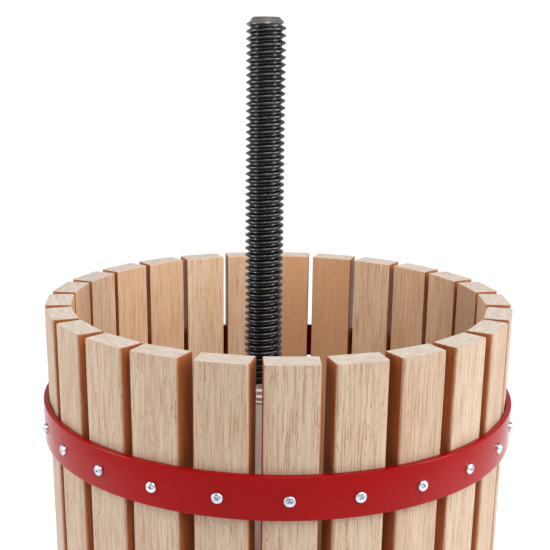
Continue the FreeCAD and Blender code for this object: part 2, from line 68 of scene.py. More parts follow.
HOOP_LOW, HOOP_HIGH = box_of("hoop_upper")
BASKET_AXIS = Vector(((HOOP_LOW.x + HOOP_HIGH.x) / 2, (HOOP_LOW.y + HOOP_HIGH.y) / 2, 0))
RIM_Z = box_of("slat_01")[1].z
FOOT_Z = box_of("slat_01")[0].z
SLATS = sorted(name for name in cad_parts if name.startswith("slat_"))


# ---------------------------------------------------------------- mesh helpers

def rounded(corners, steps=5):
    """Points of a closed outline whose corners (x, y, radius) are rounded by arcs."""
    points = []
    count = len(corners)
    for index in range(count):
        x, y, radius = corners[index]
        here = Vector((x, y))
        before = Vector(corners[index - 1][:2]) - here
        after = Vector(corners[(index + 1) % count][:2]) - here
        turn = before.angle(after)
        if radius <= 0 or abs(turn - math.pi) < 1e-4:
            points.append((x, y))
            continue
        reach = min(radius / math.tan(turn / 2), before.length / 2, after.length / 2)
        start = here + before.normalized() * reach
        end = here + after.normalized() * reach
        for step in range(steps + 1):
            t = step / steps
            bend = (1 - t) ** 2 * start + 2 * t * (1 - t) * here + t ** 2 * end
            points.append((bend.x, bend.y))
    return points


def inset(outline, amount):
    """The outline moved inwards by about that amount, for an outline that runs anticlockwise."""
    moved = []
    count = len(outline)
    for index in range(count):
        before = Vector(outline[index - 1])
        after = Vector(outline[(index + 1) % count])
        along = (after - before).normalized()
        here = Vector(outline[index])
        moved.append(tuple(here + Vector((-along.y, along.x)) * amount))
    return moved


def finish_mesh(name, verts, faces, sharp=35, uses=None):
    mesh = bpy.data.meshes.new(name)
    mesh.from_pydata([tuple(v) for v in verts], [], faces)
    if uses:
        mesh.polygons.foreach_set("material_index", uses)
    mesh.validate()
    mesh.polygons.foreach_set("use_smooth", [True] * len(mesh.polygons))
    mesh.set_sharp_from_angle(angle=math.radians(sharp))
    mesh.update()
    return mesh


def lathe(profile, segments, centre=(0, 0)):
    """Verts and faces of a closed (radius, z) profile turned about an upright axis."""
    verts = []
    faces = []
    rows = len(profile)
    for step in range(segments):
        angle = 2 * math.pi * step / segments
        for radius, z in profile:
            verts.append((centre[0] + radius * math.cos(angle), centre[1] + radius * math.sin(angle), z))
        ahead = (step + 1) % segments
        for row in range(rows):
            up = (row + 1) % rows
            faces.append((step * rows + row, ahead * rows + row, ahead * rows + up, step * rows + up))
    return verts, faces


def stack_rings(rings):
    """Verts and faces of a solid whose cross-sections are the rings, with its two ends capped."""
    verts = [point for ring in rings for point in ring]
    count = len(rings[0])
    faces = []
    for row in range(len(rings) - 1):
        for index in range(count):
            ahead = (index + 1) % count
            low = row * count
            faces.append((low + index, low + ahead, low + count + ahead, low + count + index))
    faces.append(tuple(reversed(range(count))))
    last = (len(rings) - 1) * count
    faces.append(tuple(range(last, last + count)))
    return verts, faces


def prism(outline, low, high, bevel):
    """A bar of that outline between two heights, its end edges rounded by the bevel."""
    rings = []
    steps = 3
    for step in range(steps + 1):
        angle = math.pi / 2 * step / steps
        rings.append((inset(outline, bevel * (1 - math.sin(angle))), low + bevel * (1 - math.cos(angle))))
    for step in range(steps + 1):
        angle = math.pi / 2 * step / steps
        rings.append((inset(outline, bevel * (1 - math.cos(angle))), high - bevel * (1 - math.sin(angle))))
    return stack_rings([[(x, y, z) for x, y in points] for points, z in rings])


def turned_about_z(verts, angle, centre=(0, 0, 0)):
    turn = Matrix.Rotation(angle, 3, "Z")
    middle = Vector(centre)
    return [middle + turn @ Vector(v) for v in verts]


def laid(verts, rotation, spot):
    return [rotation @ Vector(v) + Vector(spot) for v in verts]


def join(parts):
    """One list of verts and one of faces from several (verts, faces) pairs."""
    verts = []
    faces = []
    for part_verts, part_faces in parts:
        shift = len(verts)
        verts.extend(part_verts)
        faces.extend(tuple(index + shift for index in face) for face in part_faces)
    return verts, faces


def add_piece(name, mesh, body, materials, nodes=()):
    piece = bpy.data.objects.new(name, mesh)
    bpy.context.collection.objects.link(piece)
    for material in materials:
        mesh.materials.append(material)
    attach(piece, body)
    if nodes:
        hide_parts(*nodes)
    return piece


def set_grain(mesh, coordinates, tone, inward=None):
    """Each point's place in its board, in millimetres: across, through and along the grain."""
    grain = mesh.attributes.new("grain", "FLOAT_VECTOR", "POINT")
    grain.data.foreach_set("vector", [number for point in coordinates for number in point])
    shade = mesh.attributes.new("tone", "FLOAT", "POINT")
    shade.data.foreach_set("value", [tone] * len(mesh.vertices))
    # inward masks the painted gap shade on slat sides; it is 0 on the outer and inner faces.
    depth = mesh.attributes.new("inward", "FLOAT", "POINT")
    depth.data.foreach_set("value", inward or [0.0] * len(mesh.vertices))


# ---------------------------------------------------------------- shader helpers

class Shader:
    """Short ways to build one procedural material."""

    def __init__(self, name):
        self.material = bpy.data.materials.new(name)
        self.material.use_nodes = True
        self.nodes = self.material.node_tree.nodes
        self.links = self.material.node_tree.links
        self.surface = self.nodes["Principled BSDF"]

    def add(self, kind, **settings):
        added = self.nodes.new(kind)
        for key, value in settings.items():
            setattr(added, key, value)
        return added

    def feed(self, socket, value):
        if isinstance(value, bpy.types.NodeSocket):
            self.links.new(value, socket)
        else:
            socket.default_value = value

    def attribute(self, name, output):
        return self.add("ShaderNodeAttribute", attribute_name=name).outputs[output]

    def place(self):
        return self.add("ShaderNodeTexCoord").outputs["Object"]

    def scaled(self, vector, scale, shift=(0, 0, 0)):
        mapping = self.add("ShaderNodeMapping")
        self.feed(mapping.inputs["Vector"], vector)
        mapping.inputs["Scale"].default_value = scale
        mapping.inputs["Location"].default_value = shift
        return mapping.outputs["Vector"]

    def noise(self, vector, scale=1.0, detail=3.0, roughness=0.5, distortion=0.0):
        texture = self.add("ShaderNodeTexNoise")
        self.feed(texture.inputs["Vector"], vector)
        texture.inputs["Scale"].default_value = scale
        texture.inputs["Detail"].default_value = detail
        texture.inputs["Roughness"].default_value = roughness
        texture.inputs["Distortion"].default_value = distortion
        return texture.outputs["Fac"]

    def cells(self, vector, scale=1.0):
        texture = self.add("ShaderNodeTexVoronoi")
        self.feed(texture.inputs["Vector"], vector)
        texture.inputs["Scale"].default_value = scale
        return texture.outputs["Distance"], texture.outputs["Color"]

    def span(self, value, low, high, to_low=0.0, to_high=1.0):
        ranged = self.add("ShaderNodeMapRange")
        self.feed(ranged.inputs["Value"], value)
        ranged.inputs["From Min"].default_value = low
        ranged.inputs["From Max"].default_value = high
        ranged.inputs["To Min"].default_value = to_low
        ranged.inputs["To Max"].default_value = to_high
        return ranged.outputs["Result"]

    def math(self, operation, first, second):
        node = self.add("ShaderNodeMath", operation=operation)
        self.feed(node.inputs[0], first)
        self.feed(node.inputs[1], second)
        return node.outputs[0]

    def mix(self, factor, first, second, blend="MIX"):
        node = self.add("ShaderNodeMix", data_type="RGBA", blend_type=blend)
        self.feed(node.inputs["Factor"], factor)
        self.feed(node.inputs[6], first)
        self.feed(node.inputs[7], second)
        return node.outputs[2]

    def bump(self, height, distance, strength):
        node = self.add("ShaderNodeBump")
        self.feed(node.inputs["Height"], height)
        node.inputs["Distance"].default_value = distance
        node.inputs["Strength"].default_value = strength
        return node.outputs["Normal"]

    def finish(self, **inputs):
        for name, value in inputs.items():
            self.feed(self.surface.inputs[name.replace("_", " ")], value)
        return self.material


def colour(red, green, blue):
    """A linear colour from display values of 0 to 255."""
    def linear(value):
        part = value / 255
        return part / 12.92 if part <= 0.04045 else ((part + 0.055) / 1.055) ** 2.4
    return (linear(red), linear(green), linear(blue), 1.0)


# ---------------------------------------------------------------- materials

def wood(name, pale, dark, fleck, deep, rough=0.5, fleck_amount=0.75, gap_shade=None, aged=0.4):
    """Board with soft figure along the grain, thin brown streaks and short dark pore flecks; given
    gap_shade, the sides in the gaps between slats get painted shade.
    """
    s = Shader(name)
    grain = s.attribute("grain", "Vector")
    tone = s.attribute("tone", "Fac")
    broad = s.noise(s.scaled(grain, (0.045, 0.045, 0.0035)), detail=2.0)
    bands = s.noise(s.scaled(grain, (0.42, 0.42, 0.006)), detail=5.0, roughness=0.62, distortion=0.25)
    fibres = s.noise(s.scaled(grain, (2.4, 2.4, 0.05)), detail=4.0, roughness=0.6)
    streaks = s.noise(s.scaled(grain, (1.15, 1.15, 0.030), (31.0, 17.0, 5.0)), detail=3.0, roughness=0.55)
    nearness, pick = s.cells(s.scaled(grain, (0.95, 0.95, 0.13)))
    crowd = s.noise(s.scaled(grain, (0.22, 0.22, 0.02)), detail=2.0)
    spot = s.span(nearness, 0.12, 0.32, 1.0, 0.0)
    chosen = s.span(s.math("ADD", s.math("MULTIPLY", pick, 0.55), crowd), 0.66, 0.86)
    flecks = s.math("MULTIPLY", spot, chosen)
    figure = s.span(s.math("ADD", s.math("MULTIPLY", bands, 0.8), s.math("MULTIPLY", fibres, 0.35)),
                    0.40, 0.78)
    body = s.mix(figure, pale, dark)
    body = s.mix(s.math("MULTIPLY", s.span(broad, 0.35, 0.75), 0.35), body, deep)
    body = s.mix(s.math("MULTIPLY", tone, aged), body, deep)
    body = s.mix(s.span(streaks, 0.50, 0.64, 0.0, 0.9), body, deep)
    body = s.mix(s.math("MULTIPLY", flecks, fleck_amount), body, fleck)
    # Painted gap shade: the board sides are multiplied towards the gap_shade colour deeper into the gaps
    # between slats, standing in for the shade there.
    if gap_shade:
        side = s.attribute("inward", "Fac")
        body = s.mix(s.span(side, 0.03, 0.55), body, s.mix(1.0, body, gap_shade, "MULTIPLY"))
    height = s.math("SUBTRACT", s.math("MULTIPLY", fibres, 0.5), s.math("MULTIPLY", flecks, 0.9))
    normal = s.bump(height, 0.12 * MM, 0.6)
    gloss = s.span(fibres, 0.3, 0.7, rough - 0.06, rough + 0.08)
    return s.finish(Base_Color=body, Roughness=gloss, Normal=normal, Specular_IOR_Level=0.3)


def end_grain(name, pale, dark):
    """Sawn end of a board: growth rings across it, fine saw lines and open pores."""
    s = Shader(name)
    grain = s.attribute("grain", "Vector")
    rings = s.noise(s.scaled(grain, (0.10, 0.55, 0.02)), detail=4.0, roughness=0.6, distortion=0.4)
    rays = s.noise(s.scaled(grain, (1.9, 0.25, 0.1)), detail=3.0)
    nearness, pick = s.cells(s.scaled(grain, (1.6, 1.6, 0.3)))
    pores = s.math("MULTIPLY", s.span(nearness, 0.10, 0.28, 1.0, 0.0), s.span(pick, 0.5, 0.8))
    body = s.mix(s.span(s.math("ADD", rings, s.math("MULTIPLY", rays, 0.3)), 0.5, 0.85), pale, dark)
    body = s.mix(s.math("MULTIPLY", pores, 0.4), body, dark)
    normal = s.bump(s.math("SUBTRACT", rays, pores), 0.15 * MM, 0.5)
    return s.finish(Base_Color=body, Roughness=0.72, Normal=normal, Specular_IOR_Level=0.25)


def enamel(name, base, shade, rough=0.2, peel=0.05):
    """Glossy paint with a faint orange-peel surface and slightly uneven depth of colour."""
    s = Shader(name)
    spot = s.place()
    cloud = s.noise(spot, scale=9.0, detail=3.0)
    ripple = s.noise(spot, scale=420.0, detail=2.0)
    body = s.mix(s.span(cloud, 0.35, 0.7), base, shade)
    normal = s.bump(ripple, peel * MM, 0.35)
    gloss = s.span(s.noise(spot, scale=60.0, detail=4.0), 0.3, 0.7, rough - 0.04, rough + 0.06)
    return s.finish(Base_Color=body, Roughness=gloss, Normal=normal, IOR=1.22)


def cast_enamel(name, base, shade):
    """Paint over a rough sand casting."""
    s = Shader(name)
    spot = s.place()
    grit = s.noise(spot, scale=700.0, detail=4.0, roughness=0.65)
    lumps = s.noise(spot, scale=90.0, detail=3.0)
    body = s.mix(s.span(lumps, 0.35, 0.7), base, shade)
    normal = s.bump(s.math("ADD", grit, lumps), 0.35 * MM, 0.5)
    return s.finish(Base_Color=body, Roughness=s.span(grit, 0.3, 0.7, 0.3, 0.5), Normal=normal)


def bright_metal(name, base, dull, rough):
    """Turned or rolled steel with fine tool lines and a few duller patches."""
    s = Shader(name)
    spot = s.place()
    lines = s.noise(s.scaled(spot, (60.0, 60.0, 900.0)), detail=4.0, roughness=0.6)
    cloud = s.noise(spot, scale=70.0, detail=4.0)
    body = s.mix(s.span(s.math("ADD", lines, cloud), 0.8, 1.25), base, dull)
    gloss = s.span(s.math("ADD", lines, cloud), 0.7, 1.3, rough - 0.06, rough + 0.14)
    normal = s.bump(lines, 0.02 * MM, 0.5)
    return s.finish(Base_Color=body, Roughness=gloss, Metallic=1.0, Normal=normal)


def thread_steel(name, bright_from, bright_to, tip):
    """Black oxide steel that changes to bare bright steel below a height on the spindle."""
    s = Shader(name)
    spot = s.place()
    height = s.add("ShaderNodeSeparateXYZ")
    s.feed(height.inputs[0], spot)
    cloud = s.noise(spot, scale=130.0, detail=4.0, roughness=0.6)
    specks = s.noise(spot, scale=900.0, detail=3.0, roughness=0.7)
    wear = s.span(s.math("ADD", specks, s.math("MULTIPLY", cloud, 0.6)), 0.92, 1.12)
    black = s.mix(s.math("MULTIPLY", wear, 0.55), colour(78, 78, 79), colour(130, 128, 126))
    # Bright steel with a pink tint; the tint is painted reflection of the wood around the shank.
    bare = s.mix(cloud, colour(232, 220, 217), colour(206, 192, 189))
    edge = s.math("ADD", height.outputs["Z"], s.math("MULTIPLY", cloud, 3 * MM))
    # Over the top chamfer the black is thinned a quarter of the way towards bright steel, so the tip is
    # paler.
    tip_paler = s.span(edge, tip - 5.5 * MM, tip - 4.5 * MM, 1.0, 0.75)
    blackened = s.math("MULTIPLY", s.span(edge, bright_from, bright_to), tip_paler)
    body = s.mix(blackened, bare, black)
    gloss = s.math("ADD", s.span(specks, 0.3, 0.7, 0.20, 0.36), s.span(blackened, 0.0, 1.0, 0.16, 0.0))
    normal = s.bump(specks, 0.10 * MM, 0.4)
    metal = s.span(blackened, 0.0, 1.0, 0.55, 1.0)
    return s.finish(Base_Color=body, Roughness=gloss, Metallic=metal, Normal=normal)


def studio_floor(name):
    """Matt pale board, very slightly uneven."""
    s = Shader(name)
    spot = s.place()
    cloud = s.noise(spot, scale=0.8, detail=3.0)
    pale = s.mix(cloud, (0.90, 0.90, 0.90, 1), (0.92, 0.92, 0.92, 1))
    fine = s.noise(spot, scale=160.0, detail=3.0)
    return s.finish(Base_Color=pale, Roughness=0.9, Normal=s.bump(fine, 0.1 * MM, 0.2))


MATERIALS = {
    # Slat wood: its gap_shade colour multiplies the board sides in the gaps between slats, as painted gap
    # shade.
    "slat": wood("slat_wood", colour(186, 171, 153), colour(164, 142, 120), colour(96, 58, 40),
                 colour(146, 110, 82), gap_shade=colour(228, 152, 100)),
    # The inner faces use a paler copy of the slat wood: painted light that brightens the inside of the
    # basket.
    "slat_inner": wood("slat_inner_painted_light_wood", colour(222, 200, 174), colour(206, 176, 144),
                       colour(138, 92, 60), colour(186, 134, 92), fleck_amount=0.6, aged=0.8),
    "slat_end": end_grain("slat_end_grain", colour(196, 186, 176), colour(170, 152, 134)),
    "plate": wood("plate_wood", colour(186, 148, 106), colour(156, 112, 72), colour(88, 56, 34),
                  colour(140, 96, 62), rough=0.58),
    "plate_end": end_grain("plate_end_grain", colour(188, 158, 122), colour(140, 104, 70)),
    "block": wood("block_wood", colour(205, 172, 132), colour(178, 138, 96), colour(110, 74, 44),
                  colour(170, 126, 84), rough=0.6),
    "block_end": end_grain("block_end_grain", colour(206, 182, 148), colour(160, 124, 86)),
    "grip": wood("grip_wood", colour(128, 78, 44), colour(92, 52, 28), colour(48, 26, 14),
                 colour(80, 44, 24), rough=0.28, fleck_amount=0.4),
    "hoop": enamel("hoop_enamel", colour(136, 1, 2), colour(127, 1, 2), rough=0.16),
    "paint": enamel("base_enamel", colour(182, 10, 14), colour(168, 8, 12), rough=0.24, peel=0.08),
    "cast": cast_enamel("cast_enamel", colour(176, 10, 14), colour(158, 8, 12)),
    "zinc": bright_metal("zinc_plate", colour(214, 218, 228), colour(168, 174, 186), 0.20),
    "steel": bright_metal("bright_steel", colour(205, 200, 196), colour(170, 164, 160), 0.28),
}


# ---------------------------------------------------------------- basket

# Slats of darker wood, counted from 0 at the front towards +X.
DARK_SLATS = (11, 12)
HOOP_THICKNESS = 4.3 * MM
SCREW_RADIUS = 2.0 * MM
HOOP_SCREW_LENGTH = 18 * MM


def slat_place(node):
    """Angle, half width, inner and outer radius of a slat, read from its CAD solid."""
    points = [v.co.xy - BASKET_AXIS.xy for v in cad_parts[node].data.vertices]
    centre = middle_of(node).xy - BASKET_AXIS.xy
    angle = math.atan2(centre.x, -centre.y)
    for _ in range(2):
        along = Vector((math.cos(angle), math.sin(angle)))
        sides = [point.dot(along) for point in points]
        radius = centre.length
        angle += (min(sides) + max(sides)) / 2 / radius
    outward = Vector((math.sin(angle), -math.cos(angle)))
    depths = [point.dot(outward) for point in points]
    return angle, (max(sides) - min(sides)) / 2, min(depths), max(depths)


def make_slat(number, node):
    angle, half, inner, outer = slat_place(node)
    soft = 3.0 * MM
    crisp = 0.7 * MM
    inner_line = -inner - 0.05 * MM
    round_depth = 3.4 * MM
    outline = rounded([(-half, -outer, soft), (half, -outer, soft), (half, -inner, crisp),
                       (-half, -inner, crisp)], steps=6)
    rows = 44
    end_bevel = 0.5 * MM
    rings = [(inset(outline, end_bevel), FOOT_Z)]
    for row in range(rows + 1):
        z = FOOT_Z + end_bevel + (RIM_Z - FOOT_Z - 2 * end_bevel) * row / rows
        ripple = 0.22 * MM * noise.noise(Vector((number * 7.3, 0.0, z * 9.0)))
        narrow = 0.20 * MM * noise.noise(Vector((0.0, number * 5.1, z * 14.0)))
        bent = [(x * (1 + narrow / half), y + ripple) for x, y in outline]
        rings.append((bent, z))
    rings.append((inset(outline, end_bevel), RIM_Z))
    verts, faces = stack_rings([[(x, y, z) for x, y in points] for points, z in rings])
    count = len(outline)
    inner_side = [min(outline[index][1], outline[(index + 1) % count][1]) > inner_line
                  for index in range(count)]
    uses = [2 if flag else 0 for flag in inner_side] * (len(rings) - 1) + [1, 1]
    shift = (number * 137.0, number * 61.0, number * 911.0)
    grain = [(x / MM + shift[0], y / MM + shift[1], z / MM + shift[2]) for x, y, z in verts]
    mesh = finish_mesh(node + "_board", turned_about_z(verts, angle, BASKET_AXIS), faces, uses=uses)
    # Depth in from the outer face, full from 3.4 mm on, and 0 on the inner face: the mask of the painted
    # gap shade on the slat sides.
    sides = [0.0 if y > inner_line else min(1.0, (y + outer) / round_depth) for _, y in outline]
    tone = 0.95 if number in DARK_SLATS else 0.45 * random.random()
    set_grain(mesh, grain, tone, sides * len(rings))
    add_piece(node + "_board", mesh, BASKET,
              [MATERIALS["slat"], MATERIALS["slat_end"], MATERIALS["slat_inner"]], [node])


def make_hoop(node):
    low, high = box_of(node)
    outer = (high.x - low.x) / 2
    inner = outer - HOOP_THICKNESS
    edge = 1.1 * MM
    crisp = 0.4 * MM
    profile = rounded([(inner, low.z, crisp), (outer, low.z, edge), (outer, high.z, edge),
                       (inner, high.z, crisp)], steps=5)
    verts, faces = lathe(profile, 288, BASKET_AXIS)
    warped = []
    for x, y, z in verts:
        wave = 0.12 * MM * noise.noise(Vector((x * 16, y * 16, 3.0)))
        warped.append((x, y, z + wave))
    mesh = finish_mesh(node + "_band", warped, faces)
    add_piece(node + "_band", mesh, BASKET, [MATERIALS["hoop"]], [node])


def screw_head():
    """Pan head with a cross recess, facing +Z, its seat at zero."""
    radius = 4.15 * MM
    tall = 2.55 * MM
    skirt = 0.95 * MM
    recess_depth = 1.7 * MM
    recess_reach = 2.35 * MM
    recess_wall = 0.22 * MM
    segments = 64
    radii = [0.0, 0.25, 0.5, 0.75, 1.0, 1.25, 1.5, 1.75, 2.0, 2.2, 2.4, 2.7, 3.0, 3.3, 3.6, 3.9, 4.15]
    verts = []
    for r_mm in radii:
        r = r_mm * MM
        dome = skirt + (tall - skirt) * math.sqrt(max(0.0, 1 - (r / radius) ** 2.6))
        for step in range(segments):
            angle = 2 * math.pi * step / segments
            x = r * math.cos(angle)
            y = r * math.sin(angle)
            arm = min(abs(x), abs(y))
            width = 0.62 * MM - 0.10 * r
            slope = min(1.0, max(0.0, (width - arm) / recess_wall))
            deep = recess_depth * max(0.0, 1 - (r / recess_reach) ** 2) * slope
            verts.append((x, y, dome - deep))
    for step in range(segments):
        angle = 2 * math.pi * step / segments
        verts.append((radius * math.cos(angle), radius * math.sin(angle), 0.0))
    faces = []
    for row in range(len(radii)):
        for step in range(segments):
            ahead = (step + 1) % segments
            low = row * segments
            faces.append((low + step, low + segments + step, low + segments + ahead, low + ahead))
    faces.append(tuple(range(segments)))
    last = len(radii) * segments
    faces.append(tuple(reversed(range(last, last + segments))))
    return verts, faces


def screw_shank(length, radius):
    """Shank with a coarse wood thread, pointing towards -Z from the head's seat."""
    segments = 20
    pitch = 1.6 * MM
    rows = 60
    rings = []
    for row in range(rows + 1):
        z = -length * row / rows
        taper = min(1.0, (length + z) / (3 * MM) + 0.12)
        ring = []
        for step in range(segments):
            angle = 2 * math.pi * step / segments
            phase = (z / pitch - angle / (2 * math.pi)) % 1.0
            crest = radius * (0.72 + 0.28 * max(0.0, 1 - abs(phase - 0.5) * 5))
            ring.append((crest * taper * math.cos(angle), crest * taper * math.sin(angle), z))
        rings.append(ring)
    rings.reverse()
    return stack_rings(rings)


def make_hoop_screws(node):
    """A screw through the hoop into each slat.  Their places come from the solids of the CAD node."""
    low, high = box_of(node)
    centre_z = (low.z + high.z) / 2
    hoop_low, hoop_high = box_of("hoop_upper")
    seat = (hoop_high.x - hoop_low.x) / 2
    master = join([screw_head(), screw_shank(HOOP_SCREW_LENGTH, SCREW_RADIUS)])
    parts = []
    angles = screw_angles(node)
    for angle in angles:
        spin = Matrix.Rotation(random.uniform(0, math.pi / 2), 3, "Z")
        face_out = Matrix.Rotation(math.pi / 2, 3, "X")
        turn = Matrix.Rotation(angle, 3, "Z")
        spot = BASKET_AXIS + turn @ Vector((0, -seat, 0)) + Vector((0, 0, centre_z))
        parts.append((laid(master[0], turn @ face_out @ spin, spot), master[1]))
    verts, faces = join(parts)
    mesh = finish_mesh(node + "_cross", verts, faces, sharp=40)
    add_piece(node + "_cross", mesh, BASKET, [MATERIALS["zinc"]], [node])


def screw_angles(node):
    """Even angles of the screws, from the mean phase of all the points of the CAD solids."""
    count = len(SLATS)
    step = 2 * math.pi / count
    sine = cosine = 0.0
    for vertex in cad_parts[node].data.vertices:
        across = vertex.co.xy - BASKET_AXIS.xy
        phase = math.atan2(across.x, -across.y) * count
        sine += math.sin(phase)
        cosine += math.cos(phase)
    first = math.atan2(sine, cosine) / count
    return [first + step * number for number in range(count)]


# ---------------------------------------------------------------- spindle

PITCH = 5.5 * MM
CREST_SHARE = 0.18
ROOT_SHARE = 0.14
THREAD_DEPTH = 3.3 * MM


def thread_dip(phase):
    """Depth below the crest, 0 to 1, at a phase of 0 to 1 along one pitch."""
    away = abs(phase - 0.5) * 2
    slope = (away - CREST_SHARE) / (1 - CREST_SHARE - ROOT_SHARE)
    slope = min(1.0, max(0.0, slope))
    return slope * slope * (3 - 2 * slope) * 0.35 + slope * 0.65


def make_spindle():
    low, high = box_of("spindle")
    crest = 15.75 * MM
    shank = 12.75 * MM
    collar = 24 * MM
    foot_bevel = 1.2 * MM
    thread_length = 314 * MM
    thread_foot = high.z - thread_length
    chamfer = 5.5 * MM
    segments = 72
    per_pitch = 14
    rows = int((high.z - thread_foot) / PITCH * per_pitch)
    rings = []

    def plain(radius, z):
        rings.append([(radius * math.cos(2 * math.pi * step / segments),
                       radius * math.sin(2 * math.pi * step / segments), z)
                      for step in range(segments)])

    plain(shank - foot_bevel, low.z)
    plain(shank, low.z + foot_bevel)
    collar_foot = 230.0 * MM
    collar_top = 240.0 * MM
    plain(shank, collar_foot)
    plain(collar, collar_foot + 0.01 * MM)
    plain(collar, collar_top - 1.0 * MM)
    plain(collar - 1.0 * MM, collar_top)
    plain(shank + 2 * MM, collar_top)
    plain(shank, collar_top + 2 * MM)
    plain(shank, thread_foot - 0.2 * MM)
    for row in range(rows + 1):
        z = thread_foot + (high.z - thread_foot) * row / rows
        run_out = min(1.0, (z - thread_foot) / (0.7 * PITCH))
        tip_limit = crest - chamfer * max(0.0, 1 - (high.z - z) / chamfer)
        ring = []
        for step in range(segments):
            angle = 2 * math.pi * step / segments
            phase = (z / PITCH - angle / (2 * math.pi)) % 1.0
            worn = 0.10 * MM * noise.noise(Vector((math.cos(angle) * 2, math.sin(angle) * 2, z * 260)))
            radius = crest - THREAD_DEPTH * thread_dip(phase) + worn
            radius = shank + (radius - shank) * run_out
            radius = min(radius, tip_limit, crest)
            ring.append((radius * math.cos(angle), radius * math.sin(angle), z))
        rings.append(ring)
    verts, faces = stack_rings(rings)
    mesh = finish_mesh("spindle_screw", verts, faces, sharp=50)
    steel = thread_steel("spindle_steel", thread_foot + 19 * MM, thread_foot + 21 * MM, high.z)
    add_piece("spindle_screw", mesh, BASE, [steel], ["spindle"])


# ---------------------------------------------------------------- tray, legs, brace

def make_tray():
    low, high = box_of("tray")
    sheet = 2.5 * MM
    bead = 5.0 * MM
    wall = (high.x - low.x) / 2 - bead - sheet
    bore = 12.8 * MM
    outer = wall + sheet
    bead_z = high.z - bead
    corner = 6.0 * MM
    profile = rounded([(bore, low.z, 0), (outer, low.z, corner + sheet), (outer, bead_z - bead, 0.5 * MM)],
                      steps=8)[:-1]
    turns = 20
    for step in range(turns + 1):
        angle = math.radians(-100 + 280 * step / turns)
        profile.append((outer + bead * math.cos(angle), bead_z + bead * math.sin(angle)))
    profile = [point for point in profile if point[0] <= outer + bead]
    profile += rounded([(wall, bead_z, 0), (wall, low.z + sheet, corner), (bore, low.z + sheet, 0)],
                       steps=8)[:-1]
    profile.append((bore, low.z + sheet))
    verts, faces = lathe(profile, 240)
    mesh = finish_mesh("tray_pan", verts, faces, sharp=50)
    add_piece("tray_pan", mesh, BASE, [MATERIALS["paint"]], ["tray"])


def keep_cad(names, material, bevel=0.6 * MM):
    """CAD nodes whose shape is right: a material and softly broken edges."""
    for name in names:
        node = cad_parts[name]
        node.data.materials.clear()
        node.data.materials.append(material)
        weld = node.modifiers.new("weld", "WELD")
        weld.merge_threshold = 0.005 * MM
        soften = node.modifiers.new("soften", "BEVEL")
        soften.width = bevel
        soften.segments = 2
        soften.limit_method = "ANGLE"
        soften.angle_limit = math.radians(40)
        soften.harden_normals = True


# ---------------------------------------------------------------- plates, blocks, nut

def lay_board(name, node, body, face, end, along, soft=1.5 * MM):
    """A rectangular board with its grain along X (0) or Y (1), edges rounded."""
    low, high = box_of(node)
    middle = (low + high) / 2
    half = (high - low) / 2
    across = 1 - along
    outline = rounded([(-half[across], -half.z, soft), (half[across], -half.z, soft),
                       (half[across], half.z, soft), (-half[across], half.z, soft)], steps=4)
    verts, faces = prism(outline, -half[along], half[along], soft * 0.6)
    uses = [0] * (len(faces) - 2) + [1, 1]
    seed = random.random() * 900
    grain = [(x / MM + seed, y / MM + seed, z / MM + seed) for x, y, z in verts]
    if along == 0:
        rotation = Matrix(((0, 0, 1), (1, 0, 0), (0, 1, 0)))
    else:
        rotation = Matrix(((-1, 0, 0), (0, 0, 1), (0, 1, 0)))
    mesh = finish_mesh(name, laid(verts, rotation, middle), faces, uses=uses)
    set_grain(mesh, grain, random.random())
    add_piece(name, mesh, body, [MATERIALS[face], MATERIALS[end]], [node])


def make_half_plate(node, side):
    low, high = box_of(node)
    radius = (high.x - low.x) / 2
    notch = 28 * MM
    gap = 0.5 * MM
    start = math.asin(gap / radius)
    steps = 64
    notch_steps = 16
    outline = []
    for step in range(steps + 1):
        angle = start + (math.pi - 2 * start) * step / steps
        outline.append((radius * math.cos(angle), radius * math.sin(angle)))
    notch_start = math.asin(gap / notch)
    for step in range(notch_steps + 1):
        angle = math.pi - notch_start - (math.pi - 2 * notch_start) * step / notch_steps
        outline.append((notch * math.cos(angle), notch * math.sin(angle)))
    verts, faces = prism(outline, low.z, high.z, 1.2 * MM)
    uses = [0] * len(faces)
    seed = 300.0 if side > 0 else 640.0
    grain = [(y / MM + seed, z / MM + seed, x / MM + seed) for x, y, z in verts]
    mesh = finish_mesh(node + "_wood", turned_about_z(verts, 0 if side > 0 else math.pi), faces, uses=uses)
    set_grain(mesh, grain, 0.4 if side > 0 else 0.7)
    add_piece(node + "_wood", mesh, STACK, [MATERIALS["plate"]], [node])


BATTEN_SCREW_LENGTH = 20 * MM


def make_batten_screws():
    master = join([screw_head(), screw_shank(BATTEN_SCREW_LENGTH, SCREW_RADIUS)])
    low, high = box_of("batten_screws")
    seat = box_of("batten_front")[1].z
    head = 4.1 * MM
    parts = []
    for x in (low.x + head, high.x - head):
        for y in (low.y + head, high.y - head):
            spin = Matrix.Rotation(random.uniform(0, math.pi / 2), 3, "Z")
            parts.append((laid(master[0], spin, (x, y, seat)), master[1]))
    verts, faces = join(parts)
    mesh = finish_mesh("batten_screws_cross", verts, faces, sharp=40)
    add_piece("batten_screws_cross", mesh, STACK, [MATERIALS["zinc"]], ["batten_screws"])


